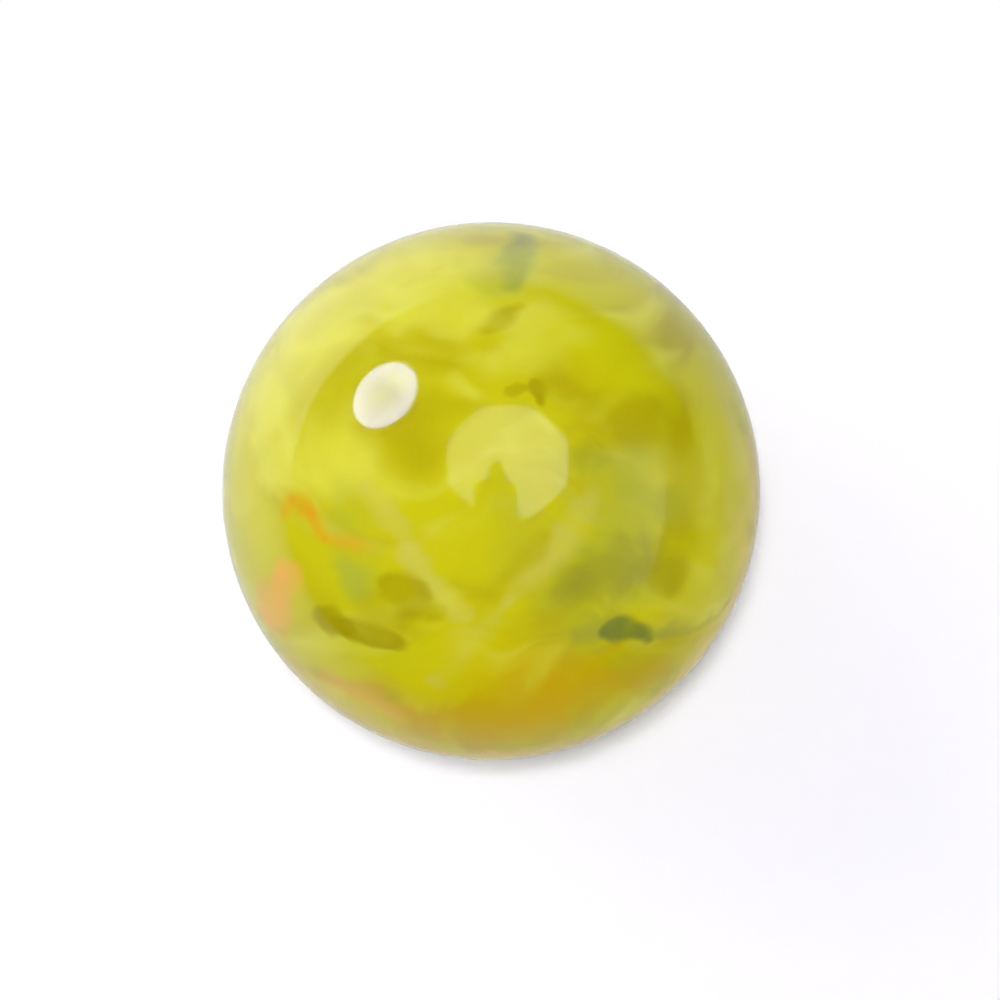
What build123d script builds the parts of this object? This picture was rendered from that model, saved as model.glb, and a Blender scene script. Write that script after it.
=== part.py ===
from build123d import *

import os

# A machine-made playing marble: one solid ball of fused and fire-polished glass.
# Millimetres, +Z up. The origin is the ball's centre.

DIAMETER = 16.0  # a standard playing marble, nominally 5/8 inch
RADIUS = DIAMETER / 2

os.makedirs("parts", exist_ok=True)

# The differently coloured glasses are molten into one piece, so there is one solid,
# with no seam, core or layer in it. Rounding between two rollers leaves a true sphere.
with BuildPart() as glass_marble:
    Sphere(radius=RADIUS)

glass_marble.part.label = "glass_marble"
export_step(glass_marble.part, "parts/glass_marble.step")
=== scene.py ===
import math

import bpy
from mathutils import Matrix, Vector

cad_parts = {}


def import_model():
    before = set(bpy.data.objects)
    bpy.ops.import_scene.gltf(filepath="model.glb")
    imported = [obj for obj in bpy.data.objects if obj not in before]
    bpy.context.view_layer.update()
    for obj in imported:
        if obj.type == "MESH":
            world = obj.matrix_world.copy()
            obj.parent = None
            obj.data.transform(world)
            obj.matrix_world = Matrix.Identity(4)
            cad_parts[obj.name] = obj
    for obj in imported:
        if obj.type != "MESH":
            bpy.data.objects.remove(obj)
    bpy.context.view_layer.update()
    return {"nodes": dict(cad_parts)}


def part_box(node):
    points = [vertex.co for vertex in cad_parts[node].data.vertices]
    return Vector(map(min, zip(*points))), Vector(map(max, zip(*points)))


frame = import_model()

# The looks of a machine-made glass playing marble: translucent yellow glass with olive pockets,
# pale veils, orange wisps and blue-green smears fused into it, under a clear polished skin,
# with a warm rim light painted along its lower and right edge.
# Places on the ball are given in radii from its centre: +X right, +Y up the picture, +Z at the camera.

LOW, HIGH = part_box("glass_marble")
CENTRE = (LOW + HIGH) / 2
RADIUS = (HIGH.z - LOW.z) / 2
FLOOR_Z = LOW.z

# Camera
LENS = 135.0  # mm, on the 36 mm sensor
BALL_SHARE = 0.538  # of the picture's width
AIM = (0.033, -0.033)  # where the camera's axis passes the ball, in radii

# Light levels, where 1 is the white of the picture
SKY_FOR_MATT = 0.37
SKY_FOR_GLOSS = 0.03
TABLE_GLOW = 0.04  # the table's own light near the ball, which keeps the shadow pale
FAR_TABLE_GLOW = 0.80  # its own light far away, where it runs into the white behind

# The table as the skin mirrors it: its level under the ball, and how fast that rises to the upper left
MIRRORED_LEVEL = 0.72
MIRRORED_RISE = 0.15

# The white card on the table: square to its near edge, where that edge is, and the way to its middle
CARD_ACROSS = (-0.38, 0.925, 0.0)
CARD_EDGE = (0.32, 0.40)
CARD_BEARING = (-0.77, 0.64, 0.0)
CARD_LEVEL = 1.3

# Panels
PANEL_DISTANCE = 30  # radii from the ball
UMBRELLA_DISTANCE = 34
BODY_DISTANCE = 20
ROUND_SIDES = 48
KEY_LEVEL = 240

# The skin, and how far light goes into the glass, in radii
SKIN_ROUGHNESS = 0.07
GLASS_IOR = 1.5
GLOW_DEPTH = 0.20
GLOW_BY_CHANNEL = (1.0, 0.9, 0.35)

# The stroke group
STROKE_INPUTS = (
    ("Place", "Vector"), ("Start", "Vector"), ("Along", "Vector"), ("Per Length", "Vector"),
    ("Inner", "Float"), ("Outer", "Float"), ("Ragged", "Float"), ("Strength", "Float"),
)
END_TAPER = 2.0  # how much faster a stroke thins at its ends


def srgb(red, green, blue):
    """A linear colour from the 0 to 255 values of a screen."""

    def linear(value):
        value = value / 255
        return value / 12.92 if value <= 0.04045 else ((value + 0.055) / 1.055) ** 2.4

    return (linear(red), linear(green), linear(blue), 1.0)


# Glass colours, and warm tones for the rim light painted along the lower and right edge
LEMON = srgb(188, 184, 18)
BRIGHT_YELLOW = srgb(194, 192, 8)
PALE_YELLOW = srgb(204, 202, 70)
OLIVE = srgb(166, 156, 8)
DARK_OLIVE = srgb(152, 142, 2)
GREY_GREEN = srgb(160, 166, 58)
SMOKE = srgb(140, 140, 40)
SLATE = srgb(138, 144, 62)
BLUE_GREEN = srgb(104, 116, 62)
MOSS = srgb(106, 118, 48)
MIST = srgb(192, 186, 78)
OLIVE_GREY = srgb(170, 168, 44)
# peach for the painted rim light along the ball's lower and right edge
PEACH_PAINTED_RIM_LIGHT = srgb(214, 182, 84)
OCHRE = srgb(184, 155, 4)
ORANGE = srgb(210, 150, 22)
SALMON = srgb(216, 166, 64)


class Tree:
    """Adds nodes to a node tree. Each value given to an input is a socket to link or a plain value."""

    def __init__(self, tree):
        self.tree = tree

    def node(self, kind, inputs=None, **settings):
        made = self.tree.nodes.new(kind)
        for name, value in settings.items():
            setattr(made, name, value)
        for name, value in (inputs or {}).items():
            if isinstance(value, bpy.types.NodeSocket):
                self.tree.links.new(value, made.inputs[name])
            else:
                made.inputs[name].default_value = value
        return made

    def math(self, operation, first, second=0.0, third=0.0):
        values = {0: first, 1: second, 2: third}
        return self.node("ShaderNodeMath", values, operation=operation).outputs[0]

    def vector(self, operation, first, second=(0.0, 0.0, 0.0)):
        made = self.node("ShaderNodeVectorMath", {0: first, 1: second}, operation=operation)
        return made.outputs["Value" if operation in ("LENGTH", "DOT_PRODUCT") else "Vector"]

    def scaled(self, vector, factor):
        made = self.node("ShaderNodeVectorMath", {0: vector, "Scale": factor}, operation="SCALE")
        return made.outputs["Vector"]

    def noise(self, place, scale, detail=2.0):
        return self.node("ShaderNodeTexNoise", {"Vector": place, "Scale": scale, "Detail": detail})

    def smooth(self, value, low, high, start=0.0, end=1.0):
        """start where value is below low, end where it is above high, and smooth between."""
        made = self.node(
            "ShaderNodeMapRange",
            {"Value": value, "From Min": low, "From Max": high, "To Min": start, "To Max": end},
            interpolation_type="SMOOTHSTEP",
        )
        return made.outputs["Result"]

    def mix(self, factor, first, second):
        made = self.node("ShaderNodeMix", data_type="RGBA")
        for socket, value in ((0, factor), (6, first), (7, second)):
            if isinstance(value, bpy.types.NodeSocket):
                self.tree.links.new(value, made.inputs[socket])
            else:
                made.inputs[socket].default_value = value
        return made.outputs[2]

    def stirred(self, place, scale, amount, offset):
        """place, pushed about by noise, the way molten glass is stirred."""
        moved = self.vector("ADD", place, offset)
        colour = self.noise(moved, scale, detail=1.0).outputs["Color"]
        push = self.vector("SUBTRACT", colour, (0.5, 0.5, 0.5))
        return self.vector("ADD", place, self.scaled(push, amount))


def stroke_group():
    """A node group: how strongly a soft, ragged, tapering stroke covers a place."""
    group = bpy.data.node_groups.new("stroke", "ShaderNodeTree")
    for name, kind in STROKE_INPUTS:
        group.interface.new_socket(name, in_out="INPUT", socket_type=f"NodeSocket{kind}")
    group.interface.new_socket("Mask", in_out="OUTPUT", socket_type="NodeSocketFloat")
    tree = Tree(group)
    given = tree.node("NodeGroupInput").outputs
    away = tree.vector("SUBTRACT", given["Place"], given["Start"])
    share = tree.vector("DOT_PRODUCT", away, given["Per Length"])
    share = tree.node("ShaderNodeClamp", {"Value": share}).outputs[0]
    nearest = tree.scaled(given["Along"], share)
    gap = tree.vector("LENGTH", tree.vector("SUBTRACT", away, nearest))
    from_middle = tree.math("SUBTRACT", share, 0.5)
    squared = tree.math("MULTIPLY", from_middle, from_middle)
    taper = tree.math("MULTIPLY_ADD", squared, END_TAPER, 1.0)
    gap = tree.math("MULTIPLY_ADD", gap, taper, given["Ragged"])
    mask = tree.smooth(gap, given["Inner"], given["Outer"], start=given["Strength"], end=0.0)
    tree.node("NodeGroupOutput", {"Mask": mask})
    return group


def on_top(x, y):
    """The point of the ball that is seen at x, y from above."""
    return Vector((x, y, math.sqrt(max(0.0, 1 - x * x - y * y))))


# Strokes of colour on the side that faces the camera, broad ones first:
# colour, strength, start, end, half width and how soft its edge is, from 0 to 1
FRONT_STROKES = (
    # fields
    (OLIVE, 0.60, (0.36, -0.66), (0.66, -0.50), 0.20, 0.9),
    (OCHRE, 0.95, (-0.26, -0.80), (0.26, -0.72), 0.25, 0.8),
    (OCHRE, 0.60, (0.26, -0.74), (0.56, -0.66), 0.14, 0.9),
    (OCHRE, 0.45, (-0.05, -0.60), (0.22, -0.56), 0.14, 0.9),
    (OLIVE, 0.85, (0.66, 0.32), (0.65, -0.28), 0.13, 0.7),
    (MIST, 0.55, (0.84, 0.32), (0.85, -0.28), 0.09, 0.9),
    (PALE_YELLOW, 0.75, (-0.80, 0.34), (-0.34, 0.80), 0.24, 0.7),
    (OLIVE_GREY, 0.60, (0.14, -0.16), (0.32, -0.46), 0.20, 0.9),
    (OLIVE_GREY, 0.60, (0.38, 0.05), (0.62, -0.04), 0.18, 0.9),
    (BRIGHT_YELLOW, 0.85, (0.36, 0.52), (0.56, 0.36), 0.17, 0.7),
    (OLIVE, 0.80, (0.38, 0.20), (0.58, 0.30), 0.10, 0.8),
    (OLIVE, 0.50, (-0.62, 0.30), (-0.40, 0.48), 0.15, 0.8),
    (OLIVE, 0.55, (-0.45, 0.19), (-0.12, 0.30), 0.09, 0.8),
    (PALE_YELLOW, 0.70, (-0.30, 0.62), (0.08, 0.80), 0.17, 0.8),
    (PALE_YELLOW, 0.60, (0.02, 0.46), (0.26, 0.58), 0.12, 0.7),
    (PALE_YELLOW, 0.85, (-0.80, 0.10), (-0.46, 0.11), 0.11, 0.7),
    (GREY_GREEN, 0.50, (0.44, 0.02), (0.48, -0.20), 0.17, 0.8),
    (BRIGHT_YELLOW, 0.65, (-0.26, -0.72), (0.08, -0.42), 0.12, 0.8),
    # pale veils that cross in a V
    (MIST, 0.85, (-0.42, 0.02), (-0.28, -0.22), 0.045, 0.7),
    (MIST, 0.80, (-0.28, -0.22), (-0.12, -0.42), 0.055, 0.8),
    (MIST, 0.75, (0.34, -0.04), (0.05, -0.36), 0.055, 0.8),
    (MIST, 0.70, (0.05, -0.36), (-0.20, -0.66), 0.055, 0.8),
    (OLIVE, 0.60, (0.20, -0.12), (-0.02, -0.34), 0.035, 0.8),
    # olive pockets
    (OLIVE, 0.80, (-0.40, -0.42), (-0.32, -0.46), 0.090, 0.9),
    (DARK_OLIVE, 0.80, (-0.59, -0.43), (-0.49, -0.48), 0.068, 0.3),
    (DARK_OLIVE, 0.90, (-0.52, -0.465), (-0.33, -0.53), 0.060, 0.35),
    (DARK_OLIVE, 0.75, (-0.34, -0.34), (-0.22, -0.40), 0.072, 0.4),
    (OLIVE, 0.70, (0.20, 0.37), (0.28, 0.37), 0.060, 0.9),
    (DARK_OLIVE, 0.85, (0.18, 0.37), (0.18, 0.30), 0.036, 0.5),
    (OLIVE, 0.80, (0.06, 0.345), (0.12, 0.34), 0.028, 0.6),
    (DARK_OLIVE, 0.60, (0.105, 0.68), (-0.04, 0.58), 0.035, 0.8),
    (OLIVE, 0.60, (-0.60, -0.68), (-0.34, -0.74), 0.06, 0.9),
    # blue-green smears
    (BLUE_GREEN, 0.60, (0.095, 0.93), (0.08, 0.76), 0.060, 0.9),
    (GREY_GREEN, 0.60, (0.10, 0.86), (0.00, 0.74), 0.10, 0.9),
    (SMOKE, 0.50, (0.30, -0.29), (0.62, -0.31), 0.130, 0.6),
    (SMOKE, 0.60, (0.34, -0.27), (0.56, -0.30), 0.090, 0.7),
    (DARK_OLIVE, 0.45, (0.60, -0.22), (0.65, -0.36), 0.085, 0.7),
    (SLATE, 0.60, (0.56, -0.49), (0.79, -0.475), 0.030, 0.9),
    (SLATE, 0.60, (0.34, -0.50), (0.46, -0.51), 0.055, 0.8),
    (MOSS, 0.85, (0.445, -0.505), (0.54, -0.515), 0.056, 0.45),
    (SMOKE, 0.50, (0.31, 0.13), (0.36, 0.11), 0.070, 0.8),
    (GREY_GREEN, 0.35, (-0.50, 0.02), (-0.46, -0.34), 0.075, 0.9),
    (GREY_GREEN, 0.55, (-0.48, -0.28), (-0.46, -0.34), 0.075, 0.9),
    # orange wisps
    (ORANGE, 0.45, (-0.75, -0.08), (-0.71, -0.01), 0.026, 0.8),
    (ORANGE, 0.55, (-0.71, -0.01), (-0.63, -0.06), 0.034, 0.8),
    (ORANGE, 0.60, (-0.63, -0.06), (-0.56, -0.14), 0.034, 0.8),
    (ORANGE, 0.50, (-0.56, -0.14), (-0.41, -0.20), 0.032, 0.8),
    (SALMON, 0.75, (-0.69, -0.30), (-0.78, -0.39), 0.065, 0.7),
    (SALMON, 0.90, (-0.75, -0.38), (-0.82, -0.46), 0.100, 0.7),
    (SALMON, 0.55, (-0.54, -0.70), (-0.36, -0.80), 0.09, 0.9),
    # painted rim light: paler warm strokes that hug the ball's edge from the lower left round to the
    # right, standing in for light on the rim
    (SALMON, 0.50, (-0.70, -0.66), (-0.20, -0.95), 0.11, 0.9),
    (PEACH_PAINTED_RIM_LIGHT, 0.55, (-0.10, -0.98), (0.50, -0.85), 0.13, 0.9),
    (PEACH_PAINTED_RIM_LIGHT, 0.55, (0.62, -0.76), (0.90, -0.40), 0.13, 0.9),
    (PEACH_PAINTED_RIM_LIGHT, 0.60, (0.92, -0.36), (0.96, 0.14), 0.16, 0.9),
)


def paint(tree, place, fray, mottle, colour, strokes, group, point):
    """Lays strokes, thinned here and there by mottle, over a colour and returns the result."""
    for tint, strength, start, end, half_width, softness in strokes:
        mask = tree.node("ShaderNodeGroup", node_tree=group)
        along = point(*end) - point(*start)
        ragged = tree.math("MULTIPLY", fray, 2 * softness * half_width)
        tree.tree.links.new(place, mask.inputs["Place"])
        tree.tree.links.new(ragged, mask.inputs["Ragged"])
        mask.inputs["Start"].default_value = point(*start)
        mask.inputs["Along"].default_value = along
        mask.inputs["Per Length"].default_value = along / along.length_squared
        mask.inputs["Inner"].default_value = half_width * (1 - softness)
        mask.inputs["Outer"].default_value = half_width * (1 + softness)
        mask.inputs["Strength"].default_value = strength
        colour = tree.mix(tree.math("MULTIPLY", mask.outputs["Mask"], mottle), colour, tint)
    return colour


# Features laid by noise: colour, strength, scale and width of the ridges,
# scale of the patches they keep to, where a patch starts and is full, and an offset
SCATTERED = (
    (OCHRE, 0.75, 1.1, 0.09, 1.0, 0.48, 0.62, (2.0, 7.0, 1.0)),
    (MIST, 0.75, 1.5, 0.045, 1.2, 0.46, 0.58, (1.0, 9.0, 5.0)),
    (DARK_OLIVE, 0.80, 1.5, 0.060, 2.1, 0.50, 0.62, (4.0, 4.0, 9.0)),
    (SLATE, 0.70, 1.1, 0.060, 1.7, 0.54, 0.66, (8.0, 3.0, 2.0)),
    (ORANGE, 0.75, 1.1, 0.030, 1.7, 0.55, 0.66, (7.0, 2.0, 8.0)),
)


def scatter(tree, place, folds, colour):
    """Adds wisps and pockets to the sides and the back, which fade out on the side the camera faces."""
    height = tree.vector("DOT_PRODUCT", place, (0.0, 0.0, 1.0))
    away = tree.smooth(height, -0.10, 0.35, start=1.0, end=0.0)
    for tint, strength, scale, width, patch_scale, low, high, offset in SCATTERED:
        ridge = tree.noise(tree.vector("ADD", folds, offset), scale, detail=1.0).outputs["Fac"]
        ridge = tree.math("ABSOLUTE", tree.math("SUBTRACT", ridge, 0.5))
        mask = tree.smooth(ridge, 0.0, width * 1.1, start=strength, end=0.0)
        patch = tree.noise(tree.vector("ADD", place, offset), patch_scale, detail=0.0).outputs["Fac"]
        mask = tree.math("MULTIPLY", mask, tree.smooth(patch, low, high))
        colour = tree.mix(tree.math("MULTIPLY", mask, away), colour, tint)
    return colour


def swirled_glass():
    """The ball's one material: stirred colours and a painted rim light under a clear polished skin."""
    material = bpy.data.materials.new("swirled_glass")
    material.use_nodes = True
    tree = Tree(material.node_tree)
    shader = material.node_tree.nodes["Principled BSDF"]
    place = tree.node("ShaderNodeTexCoord").outputs["Object"]
    place = tree.scaled(place, 1 / RADIUS)

    # The melt: broad folds of lemon and olive, drawn out into streaks
    folds = tree.stirred(place, 1.1, 0.9, (3.1, 0.4, 7.7))
    folds = tree.stirred(folds, 2.6, 0.35, (0.0, 5.2, 1.3))
    streaks = tree.vector("MULTIPLY", folds, (1.0, 2.6, 1.4))
    melt = tree.noise(streaks, 1.3, detail=2.0).outputs["Fac"]
    colour = tree.mix(tree.smooth(melt, 0.46, 0.72, end=0.75), LEMON, OLIVE)
    pale = tree.noise(tree.vector("ADD", streaks, (9.0, 2.0, 4.0)), 1.6, detail=2.0).outputs["Fac"]
    colour = tree.mix(tree.smooth(pale, 0.50, 0.74, end=0.7), colour, PALE_YELLOW)

    # The features of the side that is seen, with the rim light painted along its lower and right edge
    frayed = tree.stirred(place, 2.7, 0.16, (1.0, 2.0, 3.0))
    frayed = tree.stirred(frayed, 7.0, 0.06, (4.0, 1.0, 0.0))
    grain = tree.noise(tree.vector("MULTIPLY", folds, (1.0, 1.8, 1.2)), 5.0, detail=1.5)
    fray = tree.math("MULTIPLY_ADD", grain.outputs["Fac"], 1.2, -0.6)
    mottle = tree.smooth(tree.noise(folds, 3.2, detail=1.0).outputs["Fac"], 0.34, 0.56, start=0.65)
    colour = paint(tree, frayed, fray, mottle, colour, FRONT_STROKES, stroke_group(), on_top)

    # Features of the same kinds on the sides that aren't seen
    colour = scatter(tree, place, folds, colour)

    tree.tree.links.new(colour, shader.inputs["Base Color"])
    shader.inputs["Roughness"].default_value = SKIN_ROUGHNESS
    shader.inputs["IOR"].default_value = GLASS_IOR
    shader.inputs["Subsurface Weight"].default_value = 1.0
    shader.inputs["Subsurface Radius"].default_value = GLOW_BY_CHANNEL
    shader.inputs["Subsurface Scale"].default_value = GLOW_DEPTH * RADIUS
    return material


def finish_ball(material):
    """Gives the CAD ball its glass, and rounds its facets out to the true sphere."""
    ball = frame["nodes"]["glass_marble"]
    ball.data.materials.clear()
    ball.data.materials.append(material)
    joiner = ball.modifiers.new("joiner", "WELD")
    joiner.merge_threshold = 0.0005 * RADIUS
    finer = ball.modifiers.new("finer", "SUBSURF")
    finer.subdivision_type = "SIMPLE"
    finer.levels = finer.render_levels = 2
    rounder = ball.modifiers.new("rounder", "CAST")
    rounder.factor = 1.0
    rounder.size = RADIUS
    rounder.use_radius_as_size = False
    evener = ball.modifiers.new("evener", "WEIGHTED_NORMAL")
    evener.keep_sharp = False
    evener.mode = "CORNER_ANGLE"
    return ball


def stage_mesh(name, points, material):
    """One flat face of the stage, which isn't part of the object."""
    mesh = bpy.data.meshes.new(name)
    mesh.from_pydata([tuple(p) for p in points], [], [tuple(range(len(points)))])
    mesh.materials.append(material)
    made = bpy.data.objects.new(name, mesh)
    bpy.context.scene.collection.objects.link(made)
    return made


def table_white():
    """A matt white table top, lit from below."""
    material = bpy.data.materials.new("table_white")
    material.use_nodes = True
    shader = material.node_tree.nodes["Principled BSDF"]
    shader.inputs["Base Color"].default_value = (0.80, 0.795, 0.86, 1)
    shader.inputs["Roughness"].default_value = 1.0
    shader.inputs["Specular IOR Level"].default_value = 0.0
    shader.inputs["Emission Color"].default_value = (1.0, 1.0, 1.0, 1)
    tree = Tree(material.node_tree)
    away = tree.vector("LENGTH", tree.node("ShaderNodeTexCoord").outputs["Object"])
    level = tree.smooth(away, 3 * RADIUS, 40 * RADIUS, start=TABLE_GLOW, end=FAR_TABLE_GLOW)
    tree.tree.links.new(level, shader.inputs["Emission Strength"])
    return material


def floor_square(reach):
    """A square on the floor that reaches this many radii each way."""
    corners = ((-reach, -reach), (reach, -reach), (reach, reach), (-reach, reach))
    return [Vector((x * RADIUS, y * RADIUS, FLOOR_Z)) for x, y in corners]


def floor():
    """A pale floor, and the lit table top that the ball's skin mirrors in its place."""
    ground = stage_mesh("floor", floor_square(200), table_white())
    ground.visible_glossy = False
    mirrored = stage_mesh("table_top", floor_square(30), mirrored_table())
    mirrored.visible_camera = False
    mirrored.visible_diffuse = False
    mirrored.visible_shadow = False


def mirrored_table():
    """The table as the skin mirrors it: bright near the ball, with a white card to the upper left."""
    material = bpy.data.materials.new("mirrored_table")
    material.use_nodes = True
    tree = Tree(material.node_tree)
    material.node_tree.nodes.remove(material.node_tree.nodes["Principled BSDF"])
    place = tree.scaled(tree.node("ShaderNodeTexCoord").outputs["Object"], 1 / RADIUS)
    rise = tree.vector("DOT_PRODUCT", place, (-0.65, 0.76, 0.0))
    near = tree.math("MULTIPLY_ADD", rise, MIRRORED_RISE, MIRRORED_LEVEL)
    near = tree.node("ShaderNodeClamp", {"Value": near, "Min": 0.16, "Max": 1.1}).outputs[0]
    fade = tree.smooth(tree.vector("LENGTH", place), 3.0, 16.0, start=1.0, end=0.0)
    near = tree.math("MULTIPLY", near, fade)
    on_card = tree.smooth(tree.vector("DOT_PRODUCT", place, CARD_ACROSS), *CARD_EDGE)
    bearing = tree.vector("DOT_PRODUCT", tree.vector("NORMALIZE", place), CARD_BEARING)
    on_card = tree.math("MULTIPLY", on_card, tree.smooth(bearing, 0.66, 0.97))
    level = tree.math("MAXIMUM", near, tree.math("MULTIPLY", on_card, CARD_LEVEL))
    light = tree.node("ShaderNodeEmission", {"Strength": level})
    tree.tree.links.new(light.outputs[0], material.node_tree.nodes["Material Output"].inputs["Surface"])
    return material


def glow(name, tint, middle, edge, slant=(0.0, 0.0)):
    """Light whose level goes from middle to edge of its panel, and rises along slant."""
    material = bpy.data.materials.new(name)
    material.use_nodes = True
    tree = Tree(material.node_tree)
    material.node_tree.nodes.remove(material.node_tree.nodes["Principled BSDF"])
    place = tree.node("ShaderNodeTexCoord").outputs["Object"]
    level = tree.smooth(tree.vector("LENGTH", place), 0.0, 1.0, start=middle, end=edge)
    rise = tree.vector("DOT_PRODUCT", place, (*slant, 0.0))
    level = tree.math("MULTIPLY", level, tree.math("MAXIMUM", tree.math("ADD", rise, 1.0), 0.0))
    light = tree.node("ShaderNodeEmission", {"Color": (*tint, 1.0), "Strength": level})
    tree.tree.links.new(light.outputs[0], material.node_tree.nodes["Material Output"].inputs["Surface"])
    return material


def panel(name, towards, distance, half_angles, outline, material):
    """A flat shape that faces the ball, half_angles wide and tall in degrees as the ball sees it.
    outline is drawn with sides of 1, and a panel's own X and Y run right and up for the ball."""
    towards = Vector(towards).normalized()
    made = stage_mesh(name, [(x, y, 0.0) for x, y in outline], material)
    made.rotation_mode = "QUATERNION"
    right = Vector((0, 1, 0)).cross(towards).normalized()
    made.rotation_quaternion = Matrix((right, towards.cross(right), towards)).transposed().to_quaternion()
    made.location = CENTRE + towards * distance * RADIUS
    reach = [math.tan(math.radians(half)) * distance * RADIUS for half in half_angles]
    made.scale = (*reach, 1.0)
    made.visible_camera = False
    return made


def round_outline(sides):
    turns = [2 * math.pi * (step + 0.5) / sides for step in range(sides)]
    return [(math.cos(turn), math.sin(turn)) for turn in turns]


SQUARE = ((-1, -1), (1, -1), (1, 1), (-1, 1))
CAMERA_OUTLINE = (
    (-0.12, -0.20), (0.19, -0.20), (0.19, 0.06), (0.10, 0.075),
    (0.085, 0.20), (0.0, 0.21), (-0.02, 0.08), (-0.12, 0.07),
)


def lights():
    """The gloss mirrors the first four panels, and the last three light only matt surfaces."""
    disc = round_outline(ROUND_SIDES)
    softbox_glow = glow("softbox_glow", (0.50, 0.52, 1.0), 8.5, 15.5)
    softbox = panel("softbox", (-0.652, 0.590, 0.476), PANEL_DISTANCE, (13, 13), disc, softbox_glow)
    umbrella_glow = glow("umbrella_glow", (0.96, 0.98, 1.0), 2.5, 2.2, slant=(0.25, -0.05))
    umbrella = panel(
        "umbrella", (0.121, 0.215, 0.969), UMBRELLA_DISTANCE, (26.5, 24.5), round_outline(8), umbrella_glow
    )
    black = glow("camera_black", (1, 1, 1), 0.0, 0.0)
    body = panel("camera_body", (0.0, 0.0, 1.0), BODY_DISTANCE, (45, 45), CAMERA_OUTLINE, black)
    body.visible_shadow = False
    side_glow = glow("side_glow", (1, 1, 1), 0.45, 0.35, slant=(0.9, 0.0))
    side = panel("side_panel", (0.885, -0.156, 0.438), PANEL_DISTANCE, (14, 24), SQUARE, side_glow)
    for mirrored in (softbox, umbrella, body, side):
        mirrored.visible_diffuse = False

    left_glow = glow("left_fill_glow", (1.0, 1.0, 1.0), 2.9, 2.5)
    left_fill = panel("left_fill", (-0.74, 0.55, 0.38), PANEL_DISTANCE, (32, 21), disc, left_glow)
    key_glow = glow("key_glow", (1.0, 0.985, 1.0), KEY_LEVEL, KEY_LEVEL)
    key = panel("key", (-0.027, 0.066, 0.997), PANEL_DISTANCE, (3.2, 3.2), disc, key_glow)
    fill_glow = glow("fill_glow", (1.0, 0.97, 0.9), 6.0, 5.5)
    fill = panel("fill", (0.48, -0.84, 0.10), PANEL_DISTANCE, (35, 7.5), disc, fill_glow)
    for matt_only in (left_fill, key, fill):
        matt_only.visible_glossy = False


def world():
    """White to the camera, a soft fill to matt surfaces, and nearly dark in the skin's gloss."""
    made = bpy.data.worlds.new("studio")
    made.use_nodes = True
    bpy.context.scene.world = made
    tree = Tree(made.node_tree)
    path = tree.node("ShaderNodeLightPath").outputs
    level = tree.math("MULTIPLY", path["Is Diffuse Ray"], SKY_FOR_MATT - SKY_FOR_GLOSS)
    level = tree.math("ADD", level, SKY_FOR_GLOSS)
    level = tree.math("MAXIMUM", level, path["Is Camera Ray"])
    background = made.node_tree.nodes["Background"]
    background.inputs["Color"].default_value = (1, 1, 1, 1)
    made.node_tree.links.new(level, background.inputs["Strength"])


def camera():
    """Straight above the ball, as far away as makes it fill its share of the picture."""
    data = bpy.data.cameras.new("camera")
    data.lens = LENS
    half_view = math.atan(data.sensor_width / 2 / LENS)
    half_ball = math.atan(BALL_SHARE * math.tan(half_view))
    made = bpy.data.objects.new("camera", data)
    bpy.context.scene.collection.objects.link(made)
    made.location = CENTRE + Vector((*AIM, 1 / math.sin(half_ball))) * RADIUS
    data.clip_start, data.clip_end = RADIUS * 0.1, RADIUS * 1000
    bpy.context.scene.camera = made


bpy.context.scene.view_settings.view_transform = "Standard"
finish_ball(swirled_glass())
floor()
lights()
world()
camera()
